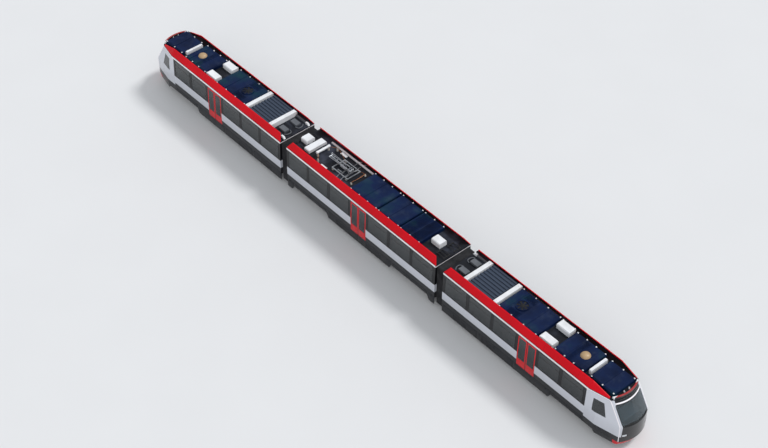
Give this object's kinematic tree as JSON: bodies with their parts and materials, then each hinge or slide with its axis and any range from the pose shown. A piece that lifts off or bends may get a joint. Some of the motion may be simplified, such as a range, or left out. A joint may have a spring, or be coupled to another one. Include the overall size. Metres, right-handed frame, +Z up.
{
  "type": "half-scale three-section articulated metro car",
  "caption": "Articulated metro car in three hinged sections with raked cabs, swivelling bogies, free-turning axles and a folding pantograph, as a half-scale model.",
  "frame": {"origin": "under the middle of the vehicle, level with the lowest point of the wheel flanges", "axes": "+X to the front cab, +Y to the left of the vehicle, +Z up"},
  "size_m": [20.035, 1.325, 1.8122],
  "materials": {
    "body_panels": "gloss paint",
    "skirt_grey": "satin paint",
    "cab_white": "gloss paint",
    "red_paint": "gloss paint",
    "roof_sheet": "matt paint",
    "roof_units": "satin paint",
    "roof_cases": "satin paint",
    "glazing": "tinted",
    "front_mask": "gloss",
    "lamp_lens": "clear",
    "underframe_steel": "matt paint",
    "bogie_steel": "satin paint",
    "wheel_steel": "turned",
    "bellows_fabric": "matt",
    "seat_shell": "moulded",
    "panto_metal": "satin"
  },
  "bodies": {
    "car_middle": {"middle_underframe": "underframe_steel", "middle_walls": "body_panels", "middle_skirts": "skirt_grey", "middle_windows": "glazing", "middle_doors": "red_paint", "middle_roof": "roof_sheet", "middle_fairings": "red_paint", "middle_roof_units": "roof_units", "middle_roof_cases": "roof_cases", "middle_seats": "seat_shell", "pantograph_base": "panto_metal", "front_bellows": "bellows_fabric", "rear_bellows": "bellows_fabric"},
    "car_front": {"front_underframe": "underframe_steel", "front_walls": "body_panels", "front_skirts": "skirt_grey", "front_windows": "glazing", "front_doors": "red_paint", "front_roof": "roof_sheet", "front_fairings": "red_paint", "front_roof_units": "roof_units", "front_roof_cases": "roof_cases", "front_cab": "cab_white", "front_windscreen": "glazing", "front_mask": "front_mask", "front_bumper": "red_paint", "front_lamps": "lamp_lens", "front_interior": "seat_shell"},
    "car_rear": {"rear_underframe": "underframe_steel", "rear_walls": "body_panels", "rear_skirts": "skirt_grey", "rear_windows": "glazing", "rear_doors": "red_paint", "rear_roof": "roof_sheet", "rear_fairings": "red_paint", "rear_roof_units": "roof_units", "rear_roof_cases": "roof_cases", "rear_cab": "cab_white", "rear_windscreen": "glazing", "rear_mask": "front_mask", "rear_bumper": "red_paint", "rear_lamps": "lamp_lens", "rear_interior": "seat_shell"},
    "bogie_1": {"bogie_1": "bogie_steel"},
    "wheelset_1a": {"wheelset_1a": "wheel_steel"},
    "wheelset_1b": {"wheelset_1b": "wheel_steel"},
    "bogie_2": {"bogie_2": "bogie_steel"},
    "wheelset_2a": {"wheelset_2a": "wheel_steel"},
    "wheelset_2b": {"wheelset_2b": "wheel_steel"},
    "bogie_3": {"bogie_3": "bogie_steel"},
    "wheelset_3a": {"wheelset_3a": "wheel_steel"},
    "wheelset_3b": {"wheelset_3b": "wheel_steel"},
    "bogie_4": {"bogie_4": "bogie_steel"},
    "wheelset_4a": {"wheelset_4a": "wheel_steel"},
    "wheelset_4b": {"wheelset_4b": "wheel_steel"},
    "panto_lower": {"pantograph_lower_arm": "panto_metal"},
    "panto_upper": {"pantograph_upper_arm": "panto_metal"},
    "panto_head": {"pantograph_head": "panto_metal"},
    "panto_rod": {"pantograph_rod": "panto_metal"}
  },
  "joints": [
    {"name": "articulation_front", "type": "hinge", "parent": "car_middle", "child": "car_front", "pos_m": [3.34, 0, 0.44], "axis": [0, 0, 1], "range_deg": [-24, 24], "deforming": ["front_bellows"]},
    {"name": "articulation_rear", "type": "hinge", "parent": "car_middle", "child": "car_rear", "pos_m": [-3.34, 0, 0.44], "axis": [0, 0, 1], "range_deg": [-24, 24], "deforming": ["rear_bellows"]},
    {"name": "bogie_swivel_1", "type": "hinge", "parent": "car_front", "child": "bogie_1", "pos_m": [8.3675, 0, 0.3], "axis": [0, 0, 1], "range_deg": [-8, 8]},
    {"name": "axle_1a", "type": "hinge", "parent": "bogie_1", "child": "wheelset_1a", "pos_m": [8.8425, 0, 0.1985], "axis": [0, 1, 0], "continuous": true},
    {"name": "axle_1b", "type": "hinge", "parent": "bogie_1", "child": "wheelset_1b", "pos_m": [7.8925, 0, 0.1985], "axis": [0, 1, 0], "continuous": true},
    {"name": "bogie_swivel_2", "type": "hinge", "parent": "car_middle", "child": "bogie_2", "pos_m": [2.15, 0, 0.3], "axis": [0, 0, 1], "range_deg": [-8, 8]},
    {"name": "axle_2a", "type": "hinge", "parent": "bogie_2", "child": "wheelset_2a", "pos_m": [2.625, 0, 0.1985], "axis": [0, 1, 0], "continuous": true},
    {"name": "axle_2b", "type": "hinge", "parent": "bogie_2", "child": "wheelset_2b", "pos_m": [1.675, 0, 0.1985], "axis": [0, 1, 0], "continuous": true},
    {"name": "bogie_swivel_3", "type": "hinge", "parent": "car_middle", "child": "bogie_3", "pos_m": [-2.15, 0, 0.3], "axis": [0, 0, 1], "range_deg": [-8, 8]},
    {"name": "axle_3a", "type": "hinge", "parent": "bogie_3", "child": "wheelset_3a", "pos_m": [-1.675, 0, 0.1985], "axis": [0, 1, 0], "continuous": true},
    {"name": "axle_3b", "type": "hinge", "parent": "bogie_3", "child": "wheelset_3b", "pos_m": [-2.625, 0, 0.1985], "axis": [0, 1, 0], "continuous": true},
    {"name": "bogie_swivel_4", "type": "hinge", "parent": "car_rear", "child": "bogie_4", "pos_m": [-8.3675, 0, 0.3], "axis": [0, 0, 1], "range_deg": [-8, 8]},
    {"name": "axle_4a", "type": "hinge", "parent": "bogie_4", "child": "wheelset_4a", "pos_m": [-7.8925, 0, 0.1985], "axis": [0, 1, 0], "continuous": true},
    {"name": "axle_4b", "type": "hinge", "parent": "bogie_4", "child": "wheelset_4b", "pos_m": [-8.8425, 0, 0.1985], "axis": [0, 1, 0], "continuous": true},
    {"name": "pantograph_raise", "type": "hinge", "parent": "car_middle", "child": "panto_lower", "pos_m": [-1.05, 0, 1.684], "axis": [0, 1, 0], "range_deg": [0, 40]},
    {"name": "pantograph_knee", "type": "hinge", "parent": "panto_lower", "child": "panto_upper", "pos_m": [-1.94877, 0, 1.7311], "axis": [0, 1, 0], "range_deg": [-80, 0]},
    {"name": "pantograph_head_pivot", "type": "hinge", "parent": "panto_upper", "child": "panto_head", "pos_m": [-1.05, 0, 1.77821], "axis": [0, 1, 0], "range_deg": [0, 40]},
    {"name": "pantograph_rod_pivot", "type": "hinge", "parent": "car_middle", "child": "panto_rod", "pos_m": [-1.2532, 0.092, 1.728], "axis": [0, 1, 0], "range_deg": [0, 45]}
  ],
  "couplings": [
    {"joint": "pantograph_knee", "follows": "pantograph_raise", "ratio": -2},
    {"joint": "pantograph_head_pivot", "follows": "pantograph_raise", "ratio": 1},
    {"joint": "pantograph_rod_pivot", "follows": "pantograph_raise", "ratio": 1.1237}
  ]
}
